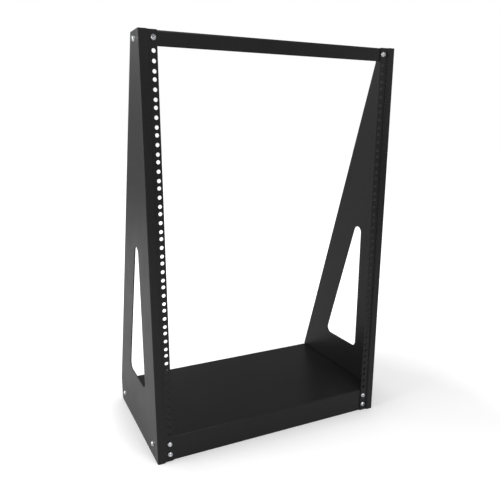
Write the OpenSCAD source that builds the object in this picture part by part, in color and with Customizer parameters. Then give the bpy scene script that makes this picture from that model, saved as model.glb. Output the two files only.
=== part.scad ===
// Two post open frame rack, 16 units high.
// Two bent side frames stand on the ground. A bar joins them at the top and a tray at the foot.
// X runs to the rack's right, Y to its rear and Z up. The origin is on the ground,
// in the middle of the rack's width and depth.

/* [Rack] */
// Number of equipment units
units = 16; // [14:1:18]
// Width over the side panels
rack_w = 516.6; // [514:0.1:520]
// Depth of the side panels at the foot
rack_d = 302; // [290:1:330]
// Height of the first unit's lower edge above the ground
first_unit_z = 52.4; // [52:0.1:60]
// Height of the side frames above the last unit
head_h = 26; // [26:0.5:30]

/* [Sheet] */
// Thickness of the steel sheet
sheet_t = 2; // [1.6:0.1:2.1]
// Inner radius of every bend
bend_r = 0.4; // [0.2:0.1:0.4]

/* [Side frame] */
// Width of the post's front face
face_w = 15.9; // [15:0.1:18]
// Depth of the step from the front face back to the mounting flange
step_d = 3; // [3:0.1:5]
// Depth of the side panel at its top
panel_top_d = 48.2; // [44:0.2:56]
// Height of the panel's upright rear edge
rear_edge_h = 53.4; // [52:0.2:80]
// Radius of the panel's rear corners
corner_r = 6; // [3:1:10]
// Distance from the front of the rack to the cut-out
cutout_front = 74; // [70:1:90]
// Height of the cut-out's lower edge
cutout_low = 127.3; // [110:0.1:150]
// Width of the strip between the cut-out and the slanted edge
strip_w = 75; // [70:1:80]
// Radius of the cut-out's corners
cutout_r = 13.3; // [8:0.1:15]

/* [Equipment holes] */
// Distance between the two columns of holes
column_spacing = 465.1; // [464:0.1:466]
// Diameter of an equipment hole
hole_d = 7.1; // [6.5:0.1:7.5]
// Distance from a column to the flange's inner edge
hole_edge = 6.4; // [6:0.1:7]

/* [Top bar] */
// Height of the bar
bar_h = 24.7; // [24:0.1:26]
// Depth of the bar's top web
bar_d = 38; // [36:1:40]
// Distance of the bar's top below the side frames' top
bar_drop = 0.4; // [0.2:0.1:1.5]

/* [Base tray] */
// Height of the tray's top surface
tray_h = 51.5; // [48:0.5:52]
// Gap between the tray's aprons and the ground
tray_lift = 0.5; // [0:0.1:1]
// Distance of the tray's rear in front of the side frames' rear edge
tray_inset = 0.5; // [0:0.1:2]

/* [Bolt places] */
// Distance of the top bolts below the side frames' top
top_bolt_drop = 12.4; // [10:0.1:14]
// Height of the post's upper foot bolt
post_bolt_high = 37.4; // [34:0.1:40]
// Height of the post's lower foot bolt
post_bolt_low = 15.2; // [12:0.1:18]
// Height of the panel's foot bolts
panel_bolt_z = 28.6; // [20:0.1:36]
// Distance of the panel's top bolt behind the front
panel_top_y = 27.2; // [20:0.1:32]
// Distance of the panel's front foot bolt behind the front
panel_foot_front_y = 34; // [24:1:60]
// Distance of the panel's rear foot bolt in front of the rear edge
panel_foot_rear_gap = 32; // [24:1:60]

/* [Bolts] */
// Diameter of a bolt's shank
bolt_d = 5.9; // [5.5:0.1:6]
// Length of a bolt's shank
bolt_l = 12; // [10:1:16]
// Diameter of a bolt's head
head_d = 10.5; // [10:0.1:11]
// Height of a bolt's head
head_k = 3.3; // [3:0.1:3.5]
// Height of the upright rim under a head's dome
head_rim = 0.5; // [0.3:0.1:0.8]
// Width of the flat on top of a head's dome
head_flat_d = 6.3; // [5.6:0.1:7]
// Width of a head's hexagon socket across its flats
socket_af = 4; // [3:0.5:4]
// Depth of a head's hexagon socket
socket_depth = 2; // [1.5:0.1:2.4]
// Diameter of the holes for the bolts
bolt_hole_d = 6.6; // [6.3:0.1:7]
// Width of a nut across its flats
nut_af = 10; // [9.5:0.5:11]
// Thickness of a nut
nut_t = 5; // [4:0.5:6]
// Width of a nut's bore over the shank's diameter
nut_room = 0.2; // [0.2:0.1:0.4]

/* [Hidden] */
$fn = 64;
eps = 1;                       // how far a cutter runs past the sheet
UNIT = 44.45;                  // height of one equipment unit
HOLE_OFFSETS = [6.35, 22.225, 38.1]; // holes above a unit's lower edge
rack_h = first_unit_z + units * UNIT + head_h;
half_w = rack_w / 2;
front = -rack_d / 2;           // Y of the posts' front face
rear = rack_d / 2;
outer_r = bend_r + sheet_t;    // outer radius of every bend
inner_x = half_w - sheet_t;    // inner surface of a side panel
flange_x = column_spacing / 2 - hole_edge; // inner edge of a mounting flange
flange_y = front + step_d;     // front surface of a mounting flange
lip_y = flange_y + sheet_t;    // front surface of the bar and of the tray
post_bolt_x = column_spacing / 2;
slope = (rack_d - panel_top_d) / (rack_h - rear_edge_h); // panel depth gained per height
lean = atan(slope);
bar_top = rack_h - bar_drop;
tray_rear = rear - tray_inset;

// Bolt places: name, the sheet face it is on, its height and, on a panel, its distance behind the front
top_bolt_z = rack_h - top_bolt_drop;
BOLTS = [
    ["post_top", "post", top_bolt_z, 0],
    ["post_foot_upper", "post", post_bolt_high, 0],
    ["post_foot_lower", "post", post_bolt_low, 0],
    ["panel_top", "panel", top_bolt_z, panel_top_y],
    ["panel_foot_front", "panel", panel_bolt_z, panel_foot_front_y],
    ["panel_foot_rear", "panel", panel_bolt_z, rack_d - panel_foot_rear_gap],
];
SIDES = [["left", -1], ["right", 1]];

function fastener_name(side, place, kind) = str(side[0], "_", place[0], "_", kind);
function unit(v) = v / norm(v);

// Points that round corner b of an outline that runs a, b, c anticlockwise, with radius r
function round_corner(a, b, c, r) =
    let (
        u = unit(a - b),
        w = unit(c - b),
        inside = acos(u * w),
        centre = b + unit(u + w) * r / sin(inside / 2),
        start = atan2(u[0], -u[1]),
        sweep = 180 - inside,
        steps = ceil(sweep * $fn / 360)
    )
    r == 0 ? [b] : [for (i = [0 : steps]) centre + r * polar(start + sweep * i / steps)];

function polar(angle) = [cos(angle), sin(angle)];

// Convex anticlockwise outline whose corners have the given radii
module rounded_outline(points, radii) {
    n = len(points);
    polygon([
        for (i = [0 : n - 1])
            each round_corner(points[(i + n - 1) % n], points[i], points[(i + 1) % n], radii[i])
    ]);
}

// Section of a 90 degree bend about a centre, turned by an angle
module bend_section(centre, turn) {
    translate(centre) rotate(turn) intersection() {
        difference() {
            circle(outer_r);
            circle(bend_r);
        }
        square(outer_r + eps);
    }
}

// Rectangle between two opposite corners
module strip(low, high) {
    translate(low) square(high - low);
}

// Extrudes an outline drawn in Y and Z, from x to x + thick
module plate_yz(x, thick) {
    translate([x, 0, 0]) rotate([90, 0, 90]) linear_extrude(thick) children();
}

// Plan of the right post: corner bend, front face, step and mounting flange
module post_section() {
    step_x = half_w - face_w;
    bend_section([half_w - outer_r, front + outer_r], -90);
    strip([step_x + outer_r, front], [half_w - outer_r, front + sheet_t]);
    bend_section([step_x + outer_r, front + outer_r], 180);
    strip([step_x, front + outer_r], [step_x + sheet_t, flange_y - bend_r]);
    bend_section([step_x - bend_r, flange_y - bend_r], 0);
    strip([flange_x, flange_y], [step_x - bend_r, lip_y]);
}

// Side panel behind the corner bend, with its slanted rear edge
module panel_outline() {
    rounded_outline(
        [
            [front + outer_r, 0],
            [rear, 0],
            [rear, rear_edge_h],
            [front + panel_top_d, rack_h],
            [front + outer_r, rack_h]
        ],
        [0, corner_r, corner_r, 0, 0]
    );
}

// Long triangular cut-out, with its slanted side parallel to the panel's rear edge
module cutout_outline() {
    cut_y = front + cutout_front;
    slant_top = front + panel_top_d - strip_w / cos(lean); // Y of the slanted side at the rack's top
    rounded_outline(
        [
            [cut_y, cutout_low],
            [slant_top + (rack_h - cutout_low) * slope, cutout_low],
            [cut_y, rack_h - (cut_y - slant_top) / slope]
        ],
        [cutout_r, cutout_r, cutout_r]
    );
}

// Places children at a bolt: the local origin is the head's seat, and Z points out of the rack
module at_bolt(place) {
    if (place[1] == "post")
        translate([post_bolt_x, flange_y, place[2]]) rotate([90, 0, 0]) children();
    else
        translate([half_w, front + place[3], place[2]]) rotate([0, 90, 0]) children();
}

module on_side(side) {
    if (side[1] > 0)
        children();
    else
        mirror([1, 0, 0]) children();
}

// Clearance holes through both clamped sheets, for all bolts on the given face
module bolt_holes(face) {
    grip = 2 * sheet_t;
    for (place = BOLTS)
        if (place[1] == face)
            at_bolt(place) translate([0, 0, -grip - eps])
                cylinder(d = bolt_hole_d, h = grip + 2 * eps);
}

// Column of equipment holes through the right mounting flange
module equipment_holes() {
    for (u = [0 : units - 1], offset = HOLE_OFFSETS)
        translate([column_spacing / 2, lip_y + eps, first_unit_z + u * UNIT + offset])
            rotate([90, 0, 0]) cylinder(d = hole_d, h = sheet_t + 2 * eps);
}

module side_frame(side) {
    color("#2c2c2d") on_side(side) difference() {
        union() {
            linear_extrude(rack_h) post_section();
            plate_yz(inner_x, sheet_t) panel_outline();
        }
        plate_yz(inner_x - eps, sheet_t + 2 * eps) cutout_outline();
        equipment_holes();
        bolt_holes("post");
        bolt_holes("panel");
    }
}

// Wall bent down from a web's edge: it starts at the origin, drops by height and runs along Y
module bent_wall(length, height) {
    rotate([90, 0, 0]) linear_extrude(length, center = true) {
        bend_section([0, -outer_r], 0);
        strip([bend_r, -height], [outer_r, -outer_r]);
    }
}

// Sheet with a flat web and bent down walls, open at its corners
module folded_sheet(y_front, y_rear, top, height, has_rear) {
    web_x = inner_x - outer_r;
    web_front = y_front + outer_r;
    web_rear = has_rear ? y_rear - outer_r : y_rear;
    middle = (web_front + web_rear) / 2;
    translate([-web_x, web_front, top - sheet_t])
        cube([2 * web_x, web_rear - web_front, sheet_t]);
    for (side = SIDES)
        translate([side[1] * web_x, middle, top])
            rotate(side[1] > 0 ? 0 : 180) bent_wall(web_rear - web_front, height);
    translate([0, web_front, top]) rotate(-90) bent_wall(2 * web_x, height);
    if (has_rear)
        translate([0, web_rear, top]) rotate(90) bent_wall(2 * web_x, height);
}

module both_sides_bolt_holes() {
    for (side = SIDES, face = ["post", "panel"])
        on_side(side) bolt_holes(face);
}

module top_bar() {
    color("#2a2a2b") difference() {
        folded_sheet(lip_y, lip_y + bar_d, bar_top, bar_h, false);
        both_sides_bolt_holes();
    }
}

module base_tray() {
    color("#2d2d2e") difference() {
        folded_sheet(lip_y, tray_rear, tray_h, tray_h - tray_lift, true);
        both_sides_bolt_holes();
    }
}

// Button head bolt with a hexagon socket: a flat topped dome over a short rim
module bolt() {
    head_r = head_d / 2;
    flat_r = head_flat_d / 2;
    // The dome's sphere passes through the rim's upper edge and the flat's edge
    dome_z = (flat_r ^ 2 + head_k ^ 2 - head_r ^ 2 - head_rim ^ 2) / (2 * (head_k - head_rim));
    dome_r = norm([head_r, head_rim - dome_z]);
    color("silver") difference() {
        union() {
            intersection() {
                cylinder(r = head_r, h = head_k);
                translate([0, 0, dome_z]) sphere(dome_r);
            }
            translate([0, 0, -bolt_l]) cylinder(d = bolt_d, h = bolt_l + head_rim);
        }
        translate([0, 0, head_k - socket_depth])
            cylinder(d = socket_af / cos(30), h = socket_depth + eps, $fn = 6);
    }
}

module nut() {
    color("silver") translate([0, 0, -2 * sheet_t - nut_t]) difference() {
        cylinder(d = nut_af / cos(30), h = nut_t, $fn = 6);
        translate([0, 0, -eps]) cylinder(d = bolt_d + nut_room, h = nut_t + 2 * eps);
    }
}

side_frame(SIDES[0]);  // left_side_frame
side_frame(SIDES[1]);  // right_side_frame
top_bar();
base_tray();
for (side = SIDES, place = BOLTS)
    on_side(side) at_bolt(place) bolt();
for (side = SIDES, place = BOLTS)
    on_side(side) at_bolt(place) nut();
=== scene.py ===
"""Dresses the two post open frame rack: powder coated sheets, zinc plated fasteners, studio, camera.

The bent sheets are the frame's own solids in a procedural powder coat. Each plain bolt and nut is
replaced by a modelled one with a socket, chamfers and a real thread.
"""

import logging
import math
from dataclasses import dataclass, field
from enum import Enum

import bmesh
import bpy
from mathutils import Matrix, Vector


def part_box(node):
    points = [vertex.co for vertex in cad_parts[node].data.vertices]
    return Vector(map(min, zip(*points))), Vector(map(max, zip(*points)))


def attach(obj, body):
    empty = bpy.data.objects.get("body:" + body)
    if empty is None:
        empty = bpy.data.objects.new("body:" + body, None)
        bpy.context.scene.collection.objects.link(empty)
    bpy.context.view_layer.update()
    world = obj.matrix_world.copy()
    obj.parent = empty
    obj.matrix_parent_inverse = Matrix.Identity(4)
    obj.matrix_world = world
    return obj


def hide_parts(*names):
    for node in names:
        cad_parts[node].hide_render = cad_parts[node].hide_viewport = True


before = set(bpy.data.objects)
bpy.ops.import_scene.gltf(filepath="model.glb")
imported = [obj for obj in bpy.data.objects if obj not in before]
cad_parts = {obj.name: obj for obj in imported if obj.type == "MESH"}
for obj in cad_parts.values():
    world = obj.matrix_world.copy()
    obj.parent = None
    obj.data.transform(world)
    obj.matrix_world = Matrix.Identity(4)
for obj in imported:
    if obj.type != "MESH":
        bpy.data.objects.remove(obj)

LOG = logging.getLogger("rack")
MM = 0.001
FLAT = 1e-4  # how far apart two heights or points may be and still count as one
HEXAGON = 6


class Side(Enum):
    """The rack's two sides, as the sign of X."""

    LEFT = -1
    RIGHT = 1


# ---------------------------------------------------------------------------
# Finishes
# ---------------------------------------------------------------------------


class ShaderTree:
    """A material's or node group's tree, with short calls that add and join its nodes."""

    def __init__(self, tree: bpy.types.NodeTree) -> None:
        """Keeps the tree that the calls work on."""
        self.tree = tree

    def add(self, kind: str, **values: object) -> bpy.types.Node:
        """Adds a node.

        Args:
            kind: The node's type name in Blender.
            values: Node properties, and default values of inputs whose names have no spaces.

        Returns:
            The new node.
        """
        node = self.tree.nodes.new(kind)
        for name, value in values.items():
            if hasattr(node, name):
                setattr(node, name, value)
            else:
                node.inputs[name].default_value = value
        return node

    def join(self, output: bpy.types.NodeSocket, socket: bpy.types.NodeSocket) -> None:
        """Links an output to an input."""
        self.tree.links.new(output, socket)

    def math(self, operation: str, *values: bpy.types.NodeSocket | float) -> bpy.types.NodeSocket:
        """Adds a maths node.

        Args:
            operation: What it does, as Blender names it.
            values: An output or a number for each of its inputs, in order.

        Returns:
            The result's socket.
        """
        node = self.add("ShaderNodeMath", operation=operation)
        for value, socket in zip(values, node.inputs):
            if isinstance(value, (int, float)):
                socket.default_value = value
            else:
                self.join(value, socket)
        return node.outputs[0]

    def ramp(
        self, value: bpy.types.NodeSocket, span: tuple[float, float], result: tuple[float, float]
    ) -> bpy.types.NodeSocket:
        """Adds a straight ramp that stays level outside its span.

        Args:
            value: The output that feeds it.
            span: The values between which it changes.
            result: What it gives at the two ends of the span.

        Returns:
            The result's socket.
        """
        node = self.add("ShaderNodeMapRange")
        self.join(value, node.inputs["Value"])
        node.inputs["From Min"].default_value, node.inputs["From Max"].default_value = span
        node.inputs["To Min"].default_value, node.inputs["To Max"].default_value = result
        return node.outputs["Result"]


def spatter_group() -> bpy.types.NodeTree:
    """Builds the fine spatter of a baked powder finish, once for all materials that use it.

    Returns:
        A group that gives a height, a colour shade round 1 and a roughness from grain size and depth.
    """
    name = "powder spatter"
    if name in bpy.data.node_groups:
        return bpy.data.node_groups[name]
    group = bpy.data.node_groups.new(name, "ShaderNodeTree")
    for label, kind, value in (
        ("Position", "NodeSocketVector", (0.0, 0.0, 0.0)),
        ("Grain per metre", "NodeSocketFloat", 900.0),
        ("Mottle per metre", "NodeSocketFloat", 12.0),
        ("Shade range", "NodeSocketFloat", 0.1),
        ("Mean roughness", "NodeSocketFloat", 0.5),
        ("Roughness range", "NodeSocketFloat", 0.1),
    ):
        socket = group.interface.new_socket(label, in_out="INPUT", socket_type=kind)
        socket.default_value = value
    for label in ("Height", "Shade", "Roughness"):
        group.interface.new_socket(label, in_out="OUTPUT", socket_type="NodeSocketFloat")
    tree = ShaderTree(group)
    given = tree.add("NodeGroupInput")
    result = tree.add("NodeGroupOutput")
    grain = tree.add("ShaderNodeTexNoise", Detail=3.0, Roughness=0.55)
    mottle = tree.add("ShaderNodeTexNoise", Detail=4.0, Roughness=0.6)
    for noise, scale in ((grain, "Grain per metre"), (mottle, "Mottle per metre")):
        tree.join(given.outputs["Position"], noise.inputs["Vector"])
        tree.join(given.outputs[scale], noise.inputs["Scale"])
    tree.join(grain.outputs["Fac"], result.inputs["Height"])
    centred = tree.math("SUBTRACT", mottle.outputs["Fac"], 0.5)
    shade = tree.math("MULTIPLY_ADD", centred, given.outputs["Shade range"], 1.0)
    tree.join(shade, result.inputs["Shade"])
    mean = given.outputs["Mean roughness"]
    rough = tree.math("MULTIPLY_ADD", centred, given.outputs["Roughness range"], mean)
    tree.join(rough, result.inputs["Roughness"])
    return group


@dataclass(frozen=True)
class SpatteredFinish:
    """A finish whose height varies in fine grain, and its colour and roughness in wider mottle."""

    name: str
    colour: tuple[float, float, float]
    roughness: float
    grain_per_m: float
    mottle_per_m: float
    grain_depth_m: float
    bump_strength: float
    shade_range: float
    roughness_range: float
    metallic: float
    specular_level: float

    def material(self) -> bpy.types.Material:
        """Builds the material.

        Returns:
            A material whose spatter lies in object space, so that it is the same on every piece.
        """
        mat = bpy.data.materials.new(self.name)
        mat.use_nodes = True
        tree = ShaderTree(mat.node_tree)
        shader = mat.node_tree.nodes["Principled BSDF"]
        shader.inputs["Metallic"].default_value = self.metallic
        shader.inputs["Specular IOR Level"].default_value = self.specular_level
        coords = tree.add("ShaderNodeTexCoord")
        spatter = tree.add("ShaderNodeGroup", node_tree=spatter_group())
        tree.join(coords.outputs["Object"], spatter.inputs["Position"])
        spatter.inputs["Grain per metre"].default_value = self.grain_per_m
        spatter.inputs["Mottle per metre"].default_value = self.mottle_per_m
        spatter.inputs["Shade range"].default_value = self.shade_range
        spatter.inputs["Mean roughness"].default_value = self.roughness
        spatter.inputs["Roughness range"].default_value = self.roughness_range
        tint = tree.add("ShaderNodeVectorMath", operation="SCALE")
        tint.inputs[0].default_value = self.colour
        tree.join(spatter.outputs["Shade"], tint.inputs["Scale"])
        tree.join(tint.outputs[0], shader.inputs["Base Color"])
        tree.join(spatter.outputs["Roughness"], shader.inputs["Roughness"])
        bump = tree.add("ShaderNodeBump", Strength=self.bump_strength, Distance=self.grain_depth_m)
        tree.join(spatter.outputs["Height"], bump.inputs["Height"])
        tree.join(bump.outputs["Normal"], shader.inputs["Normal"])
        return mat


@dataclass(frozen=True)
class PowderCoat(SpatteredFinish):
    """Matt black baked powder on steel sheet."""

    name: str = "black powder coat"
    colour: tuple[float, float, float] = (0.012, 0.012, 0.0124)
    roughness: float = 0.35
    grain_per_m: float = 1100.0
    mottle_per_m: float = 14.0
    grain_depth_m: float = 0.00003
    bump_strength: float = 0.6
    shade_range: float = 0.25
    roughness_range: float = 0.12
    metallic: float = 0.0
    specular_level: float = 0.25


@dataclass(frozen=True)
class BrightZinc(SpatteredFinish):
    """Bright zinc plating on steel fasteners."""

    name: str = "bright zinc plate"
    colour: tuple[float, float, float] = (0.62, 0.63, 0.65)
    roughness: float = 0.3
    grain_per_m: float = 2500.0
    mottle_per_m: float = 625.0
    grain_depth_m: float = 0.00001
    bump_strength: float = 0.2
    shade_range: float = 0.2
    roughness_range: float = 0.2
    metallic: float = 1.0
    specular_level: float = 0.5


# ---------------------------------------------------------------------------
# Sheets
# ---------------------------------------------------------------------------


@dataclass
class BentSheets:
    """The four bent sheets, which keep the frame's own solids."""

    finish: PowderCoat = field(default_factory=PowderCoat)
    names: tuple[str, ...] = ("left_side_frame", "right_side_frame", "top_bar", "base_tray")

    def dress(self) -> None:
        """Puts the powder coat on every sheet."""
        coat = self.finish.material()
        for name in self.names:
            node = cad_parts[name]
            node.data.materials.clear()
            node.data.materials.append(coat)
            LOG.info("%s: powder coated", name)


# ---------------------------------------------------------------------------
# Fasteners
# ---------------------------------------------------------------------------


def pick_only(shape: bpy.types.Object) -> None:
    """Makes a shape the only selected one, and the active one."""
    bpy.ops.object.select_all(action="DESELECT")
    shape.select_set(True)
    bpy.context.view_layer.objects.active = shape


def add_prism(sides: int, radius: float, low: float, height: float) -> bpy.types.Object:
    """Adds an upright prism, with its place in its mesh.

    Args:
        sides: How many sides it has.
        radius: Distance from its axis to its corners.
        low: Height of its lower end.
        height: Distance between its ends.

    Returns:
        The prism's object, the only one selected.
    """
    bpy.ops.object.select_all(action="DESELECT")
    middle = (0.0, 0.0, low + height / 2)
    bpy.ops.mesh.primitive_cylinder_add(vertices=sides, radius=radius, depth=height, location=middle)
    bpy.ops.object.transform_apply(location=True)
    return bpy.context.object


def start_editing(shape: bpy.types.Object) -> bmesh.types.BMesh:
    """Makes a shape the only selected and active one, and enters edit mode on its faces.

    Args:
        shape: The mesh object to edit.

    Returns:
        The edit mode mesh, to select from in code.
    """
    pick_only(shape)
    bpy.ops.object.mode_set(mode="EDIT")
    bpy.ops.mesh.select_mode(type="FACE")
    bpy.ops.mesh.select_all(action="DESELECT")
    return bmesh.from_edit_mesh(shape.data)


def select_end(shape: bpy.types.Object, upwards: bool) -> None:
    """Selects the flat faces at the shape's top or bottom, in edit mode.

    Args:
        shape: The mesh object in edit mode.
        upwards: True for the top, False for the bottom.
    """
    mesh = bmesh.from_edit_mesh(shape.data)
    heights = [vertex.co.z for vertex in mesh.verts]
    level = max(heights) if upwards else min(heights)
    for face in mesh.faces:
        face.select_set(all(abs(vertex.co.z - level) < FLAT for vertex in face.verts))
    bmesh.update_edit_mesh(shape.data)


def draw_out(rise: float, ratio: float) -> None:
    """Extrudes the selected faces along Z and scales the new end across Z.

    Args:
        rise: How far the faces move, in the shape's units.
        ratio: The new end's size, as a share of the old one.
    """
    bpy.ops.mesh.extrude_region_move(TRANSFORM_OT_translate={"value": (0.0, 0.0, rise)})
    bpy.ops.transform.resize(value=(ratio, ratio, 1.0))


def combine(shape: bpy.types.Object, tool: bpy.types.Object, operation: str) -> None:
    """Applies a Boolean of one shape with another and removes the other.

    Args:
        shape: The shape that changes.
        tool: The shape it is joined with, cut to or cut by.
        operation: The Boolean's kind, as Blender names it.
    """
    pick_only(shape)
    cut = shape.modifiers.new("cut", "BOOLEAN")
    cut.operation = operation
    cut.solver = "EXACT"
    cut.object = tool
    bpy.ops.object.modifier_apply(modifier=cut.name)
    bpy.data.objects.remove(tool)


@dataclass(frozen=True)
class Thread:
    """A rolled right-hand thread along Z, in millimetres."""

    diameter: float = 5.9
    pitch: float = 1.0
    depth: float = 0.61
    steps: int = 24
    spare_turns: int = 2

    def ridge(self, start: float, crest: float) -> bpy.types.Object:
        """Makes the outline of one turn: two slopes that meet at the crest.

        Args:
            start: Height of the crest.
            crest: Distance from the axis to the crest.

        Returns:
            The outline's object, which has edges only.
        """
        bpy.ops.object.select_all(action="DESELECT")
        bpy.ops.mesh.primitive_circle_add(
            vertices=3,
            radius=self.pitch / math.sqrt(3),
            fill_type="NOTHING",
            location=(0.0, 0.0, start),
            rotation=(math.pi / 2, math.pi / 2, 0.0),
        )
        outline = bpy.context.object
        bpy.ops.object.transform_apply(location=True, rotation=True)
        mesh = start_editing(outline)
        bpy.ops.mesh.select_mode(type="EDGE")
        for edge in mesh.edges:
            edge.select_set(abs(edge.verts[0].co.x - edge.verts[1].co.x) < FLAT)
        bmesh.update_edit_mesh(outline.data)
        bpy.ops.mesh.delete(type="EDGE")
        bpy.ops.mesh.select_all(action="SELECT")
        spread = self.pitch * math.sqrt(3) / 2
        bpy.ops.transform.resize(value=(self.depth / spread, 1.0, 1.0))
        mesh = bmesh.from_edit_mesh(outline.data)
        outermost = max(vertex.co.x for vertex in mesh.verts)
        bpy.ops.transform.translate(value=(crest - outermost, 0.0, 0.0))
        bpy.ops.object.mode_set(mode="OBJECT")
        return outline

    def rod(self, low: float, high: float, growth: float = 0.0) -> bpy.types.Object:
        """Makes a threaded rod with flat ends.

        Args:
            low: Height of its lower end.
            high: Height of its upper end.
            growth: How much its radius is larger than the thread's, for cutting nuts.

        Returns:
            The rod's object.
        """
        rod = self.ridge(low - self.pitch, self.diameter / 2 + growth)
        turns = rod.modifiers.new("turns", "SCREW")
        turns.screw_offset = self.pitch
        turns.iterations = math.ceil((high - low) / self.pitch) + self.spare_turns
        turns.steps = turns.render_steps = self.steps
        turns.use_merge_vertices = True
        turns.merge_threshold = FLAT
        bpy.ops.object.modifier_apply(modifier=turns.name)
        start_editing(rod)
        for level, keep_above in ((low, True), (high, False)):
            bpy.ops.mesh.select_all(action="SELECT")
            bpy.ops.mesh.bisect(
                plane_co=(0.0, 0.0, level),
                plane_no=(0.0, 0.0, 1.0),
                use_fill=True,
                clear_inner=keep_above,
                clear_outer=not keep_above,
            )
        bpy.ops.mesh.select_all(action="SELECT")
        bpy.ops.mesh.remove_doubles(threshold=FLAT)
        bpy.ops.mesh.normals_make_consistent(inside=False)
        bpy.ops.object.mode_set(mode="OBJECT")
        return rod


@dataclass(frozen=True)
class SocketBolt:
    """Button head bolt with a hexagon socket: seat at zero, head along Z, in millimetres."""

    head_diameter: float = 10.5
    head_height: float = 3.3
    rim: float = 0.5
    top_flat: float = 6.3
    dome_rings: int = 7
    segments: int = 48
    socket_width: float = 4.0
    socket_depth: float = 2.0
    shank_length: float = 12.0
    tip: float = 0.8
    socket_mouth: float = 0.3
    drill_margin: float = 0.15
    drill_depth: float = 0.45
    drill_share: float = 0.1
    thread: Thread = field(default_factory=Thread)

    def head(self) -> bpy.types.Object:
        """Models the domed head.

        Returns:
            The head's object, without its socket.
        """
        radius = self.head_diameter / 2
        flat = self.top_flat / 2
        head = add_prism(self.segments, radius, 0.0, self.rim)
        start_editing(head)
        select_end(head, upwards=True)
        rise = self.head_height - self.rim
        # height of the centre of the arc that runs from the rim to the flat top
        centre = (flat**2 + self.head_height**2 - radius**2 - self.rim**2) / (2 * rise)
        dome = math.hypot(radius, self.rim - centre)
        height, reach = self.rim, radius
        first = math.asin((self.rim - centre) / dome)
        last = math.asin((self.head_height - centre) / dome)
        for ring in range(1, self.dome_rings + 1):
            angle = first + (last - first) * ring / self.dome_rings
            new_height, new_reach = centre + dome * math.sin(angle), dome * math.cos(angle)
            draw_out(new_height - height, new_reach / reach)
            height, reach = new_height, new_reach
        bpy.ops.object.mode_set(mode="OBJECT")
        return head

    def socket(self) -> bpy.types.Object:
        """Models the tool that cuts the hexagon socket, with its chamfered mouth and drilled point.

        Returns:
            The tool's object.
        """
        corner = self.socket_width / math.sqrt(3)
        floor = self.head_height - self.socket_depth
        tool = add_prism(HEXAGON, corner, floor, self.socket_depth - self.socket_mouth / 2)
        start_editing(tool)
        select_end(tool, upwards=True)
        draw_out(self.socket_mouth, 1.0 + self.socket_mouth / corner)
        select_end(tool, upwards=False)
        bpy.ops.mesh.inset(thickness=self.drill_margin)
        draw_out(-self.drill_depth, self.drill_share)
        bpy.ops.object.mode_set(mode="OBJECT")
        return tool

    def build(self) -> bpy.types.Object:
        """Models the whole bolt.

        Returns:
            The bolt's object, still in millimetres.
        """
        bolt = self.head()
        combine(bolt, self.socket(), "DIFFERENCE")
        body_end = self.tip - self.shank_length
        shank = self.thread.rod(body_end, self.rim)
        start_editing(shank)
        select_end(shank, upwards=False)
        draw_out(-self.tip, 1.0 - self.tip / (self.thread.diameter / 2))
        bpy.ops.object.mode_set(mode="OBJECT")
        combine(bolt, shank, "UNION")
        return bolt


@dataclass(frozen=True)
class HexNut:
    """Chamfered hexagon nut: its seat at zero, its body along Z, in millimetres."""

    width: float = 10.0
    thickness: float = 5.0
    chamfer_deg: float = 30.0
    end_share: float = 0.95
    segments: int = 48
    thread_room: float = 0.05
    thread: Thread = field(default_factory=Thread)

    def build(self) -> bpy.types.Object:
        """Models the nut.

        Returns:
            The nut's object, still in millimetres.
        """
        corner = self.width / math.sqrt(3)
        end = self.width / 2 * self.end_share
        slant = (corner - end) * math.tan(math.radians(self.chamfer_deg))
        turned = add_prism(self.segments, corner, slant, self.thickness - 2 * slant)
        start_editing(turned)
        for upwards in (True, False):
            select_end(turned, upwards)
            draw_out(slant if upwards else -slant, end / corner)
        bpy.ops.object.mode_set(mode="OBJECT")
        nut = add_prism(HEXAGON, corner, 0.0, self.thickness)
        combine(nut, turned, "INTERSECT")
        beyond = self.thread.pitch
        bore = self.thread.rod(-beyond, self.thickness + beyond, self.thread_room)
        combine(nut, bore, "DIFFERENCE")
        return nut


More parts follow.
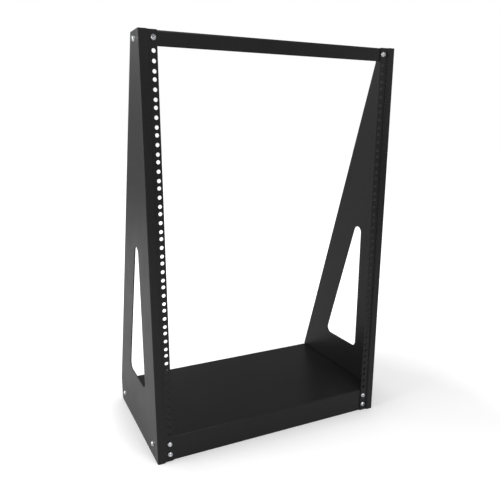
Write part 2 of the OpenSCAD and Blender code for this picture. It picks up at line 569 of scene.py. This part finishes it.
@dataclass
class Fasteners:
    """The rack's twelve bolts and nuts, each in the place of its plain solid."""

    bolt: SocketBolt = field(default_factory=SocketBolt)
    nut: HexNut = field(default_factory=HexNut)
    finish: BrightZinc = field(default_factory=BrightZinc)
    places: tuple[str, ...] = (
        "post_top",
        "post_foot_upper",
        "post_foot_lower",
        "panel_top",
        "panel_foot_front",
        "panel_foot_rear",
    )
    turn_step_deg: float = 47.0
    smooth_deg: float = 28.0

    def seat(self, node: str, side: Side, head: float) -> Matrix:
        """Works out the pose of a fastener from its plain solid's box.

        Args:
            node: The plain solid's name.
            side: The side of the rack that it is on.
            head: How far the part's seat lies behind its outer end.

        Returns:
            A matrix whose Z axis points out of the rack, with the seat at its origin.
        """
        low, high = (Vector(corner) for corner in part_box(node))
        middle = (low + high) / 2
        if "_post_" in node:
            outwards = Vector((0.0, -1.0, 0.0))
            middle.y = low.y + head
        else:
            outwards = Vector((float(side.value), 0.0, 0.0))
            middle.x = high.x - head if side is Side.RIGHT else low.x + head
        return Matrix.Translation(middle) @ outwards.to_track_quat("Z", "Y").to_matrix().to_4x4()

    def place(self, master: bpy.types.Object, node: str, seat: Matrix, turn_deg: float) -> None:
        """Puts a copy of a fastener in the place of a plain solid.

        Args:
            master: The modelled fastener, in millimetres.
            node: The plain solid's name.
            seat: The pose of its seat.
            turn_deg: How far it is turned about its own axis.
        """
        copy = master.copy()
        copy.data = master.data.copy()
        copy.name = "detailed_" + node
        bpy.context.scene.collection.objects.link(copy)
        turn = Matrix.Rotation(math.radians(turn_deg), 4, "Z")
        copy.matrix_world = seat @ turn @ Matrix.Scale(MM, 4)
        pick_only(copy)
        bpy.ops.object.transform_apply(location=True, rotation=True, scale=True)
        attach(copy, "root")
        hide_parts(node)
        LOG.info("%s: %d faces", copy.name, len(copy.data.polygons))

    def build(self) -> None:
        """Models one bolt and one nut, and places their copies."""
        zinc = self.finish.material()
        bolt, nut = self.bolt.build(), self.nut.build()
        for master in (bolt, nut):
            pick_only(master)
            bpy.ops.object.shade_smooth_by_angle(angle=math.radians(self.smooth_deg))
            master.data.materials.clear()
            master.data.materials.append(zinc)
        turn = 0.0
        for side in Side:
            for name in self.places:
                node = f"{side.name.lower()}_{name}"
                seat = self.seat(node + "_bolt", side, self.bolt.head_height * MM)
                self.place(bolt, node + "_bolt", seat, turn)
                behind = self.seat(node + "_nut", side, 0.0)
                self.place(nut, node + "_nut", behind @ Matrix.Rotation(math.pi, 4, "X"), turn / 2)
                turn += self.turn_step_deg
        for master in (bolt, nut):
            bpy.data.objects.remove(master)


# ---------------------------------------------------------------------------
# Studio
# ---------------------------------------------------------------------------


@dataclass(frozen=True)
class Softbox:
    """A square area lamp that faces a point."""

    name: str
    place: tuple[float, float, float]
    power: float
    target: tuple[float, float, float] = (0.0, 0.0, 0.35)
    side: float = 1.6

    def build(self) -> bpy.types.Object:
        """Makes the lamp.

        Returns:
            The lamp's object.
        """
        data = bpy.data.lights.new(self.name, "AREA")
        data.shape = "SQUARE"
        data.size = self.side
        data.energy = self.power
        lamp = bpy.data.objects.new(self.name, data)
        bpy.context.scene.collection.objects.link(lamp)
        lamp.location = self.place
        aim = Vector(self.target) - Vector(self.place)
        lamp.rotation_euler = aim.to_track_quat("-Z", "Y").to_euler()
        return lamp


@dataclass(frozen=True)
class Viewpoint:
    """The camera: its place, the way it looks, and its lens."""

    place: tuple[float, float, float] = (-0.49504, -1.04914, 0.63241)
    heading_deg: float = 25.70
    tilt_deg: float = -14.55
    roll_deg: float = 0.054
    lens_mm: float = 38.472
    sensor_mm: float = 36.0
    shift: tuple[float, float] = (0.00222, 0.03786)

    def build(self) -> None:
        """Makes the camera and gives it to the scene."""
        data = bpy.data.cameras.new("camera")
        data.sensor_width = self.sensor_mm
        data.lens = self.lens_mm
        data.shift_x, data.shift_y = self.shift
        camera = bpy.data.objects.new("camera", data)
        bpy.context.scene.collection.objects.link(camera)
        turn = (
            Matrix.Rotation(math.radians(-self.heading_deg), 4, "Z")
            @ Matrix.Rotation(math.radians(90 + self.tilt_deg), 4, "X")
            @ Matrix.Rotation(math.radians(self.roll_deg), 4, "Z")
        )
        camera.matrix_world = Matrix.Translation(self.place) @ turn
        bpy.context.scene.camera = camera


@dataclass
class Studio:
    """White floor and backdrop, dim surroundings, and the lamps."""

    surroundings: float = 0.18
    gloss_share: float = 0.05
    floor_side: float = 24.0
    floor_colour: float = 0.85
    floor_glow: float = 0.38
    fade_centre: tuple[float, float, float] = (0.15, -0.2, 0.0)
    fade_from: float = 0.35
    fade_to: float = 0.9
    # reach and samples of the ambient occlusion that paints a contact shadow into the floor's glow next
    # to the rack
    painted_shadow_reach: float = 0.12
    painted_shadow_samples: int = 16
    lamps: tuple[Softbox, ...] = (
        Softbox("front", (0.0, -2.0, 2.5), 44.5),
        Softbox("right", (2.0, -1.2, 1.4), 6.0),
        Softbox("left", (-2.5, 0.0, 1.2), 36.0),
        Softbox("back left", (-1.5, 2.0, 1.8), 6.0),
        Softbox("back", (0.0, 2.5, 1.5), 0.9),
        Softbox("wide back left", (-2.0, 1.4, 0.9), 11.0, side=2.4),
    )

    def build(self) -> None:
        """Makes the world, floor and lamps."""
        self.build_world()
        self.build_floor()
        for lamp in self.lamps:
            lamp.build()
            LOG.info("lamp %s", lamp.name)

    def whiteness(self, tree: ShaderTree) -> bpy.types.NodeSocket:
        """Adds the nodes that say how much of the plain white background a ray sees.

        Args:
            tree: The world's or the floor's tree.

        Returns:
            All of it for the camera, a share for gloss and glass, and none for light on the rack.
        """
        path = tree.add("ShaderNodeLightPath")
        gloss = tree.math("MAXIMUM", path.outputs["Is Glossy Ray"], path.outputs["Is Transmission Ray"])
        share = tree.math("MULTIPLY", gloss, self.gloss_share)
        return tree.math("MAXIMUM", path.outputs["Is Camera Ray"], share)

    def build_world(self) -> None:
        """Makes surroundings that are white to the camera and dim as a light."""
        world = bpy.data.worlds.new("surroundings")
        world.use_nodes = True
        bpy.context.scene.world = world
        tree = ShaderTree(world.node_tree)
        background = world.node_tree.nodes["Background"]
        level = tree.ramp(self.whiteness(tree), (0.0, 1.0), (self.surroundings, 1.0))
        tree.join(level, background.inputs["Strength"])
        background.inputs["Color"].default_value = (1.0, 1.0, 1.0, 1.0)

    def build_floor(self) -> None:
        """Makes a white floor that keeps the rack's shadow and fades to plain white away from it."""
        bpy.ops.object.select_all(action="DESELECT")
        bpy.ops.mesh.primitive_plane_add(size=self.floor_side, location=(0.0, 0.0, 0.0))
        floor = bpy.context.object
        floor.name = "floor"
        mat = bpy.data.materials.new("white floor")
        mat.use_nodes = True
        tree = ShaderTree(mat.node_tree)
        shader = mat.node_tree.nodes["Principled BSDF"]
        white = self.floor_colour
        shader.inputs["Base Color"].default_value = (white, white, white, 1.0)
        shader.inputs["Roughness"].default_value = 1.0
        shader.inputs["Specular IOR Level"].default_value = 0.0
        shader.inputs["Emission Color"].default_value = (1.0, 1.0, 1.0, 1.0)
        coords = tree.add("ShaderNodeTexCoord")
        reach = tree.add("ShaderNodeVectorMath", operation="DISTANCE")
        tree.join(coords.outputs["Object"], reach.inputs[0])
        reach.inputs[1].default_value = self.fade_centre
        glow = tree.ramp(reach.outputs["Value"], (self.fade_from, self.fade_to), (self.floor_glow, 1.0))
        # painted contact shadow: ambient occlusion darkens the floor's glow next to the rack, on top of
        # the lamps' real shadow
        painted_contact_shadow = tree.add(
            "ShaderNodeAmbientOcclusion", samples=self.painted_shadow_samples, Distance=self.painted_shadow_reach
        )
        painted_shadow_glow = tree.math("MULTIPLY", glow, painted_contact_shadow.outputs["AO"])
        tree.join(tree.math("MULTIPLY", painted_shadow_glow, self.whiteness(tree)), shader.inputs["Emission Strength"])
        floor.data.materials.append(mat)


def main() -> None:
    logging.basicConfig(level=logging.INFO, format="%(name)s: %(message)s")
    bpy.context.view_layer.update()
    bpy.context.scene.view_settings.view_transform = "Standard"
    Viewpoint().build()
    BentSheets().dress()
    Fasteners().build()
    Studio().build()


if __name__ == "__main__":
    main()
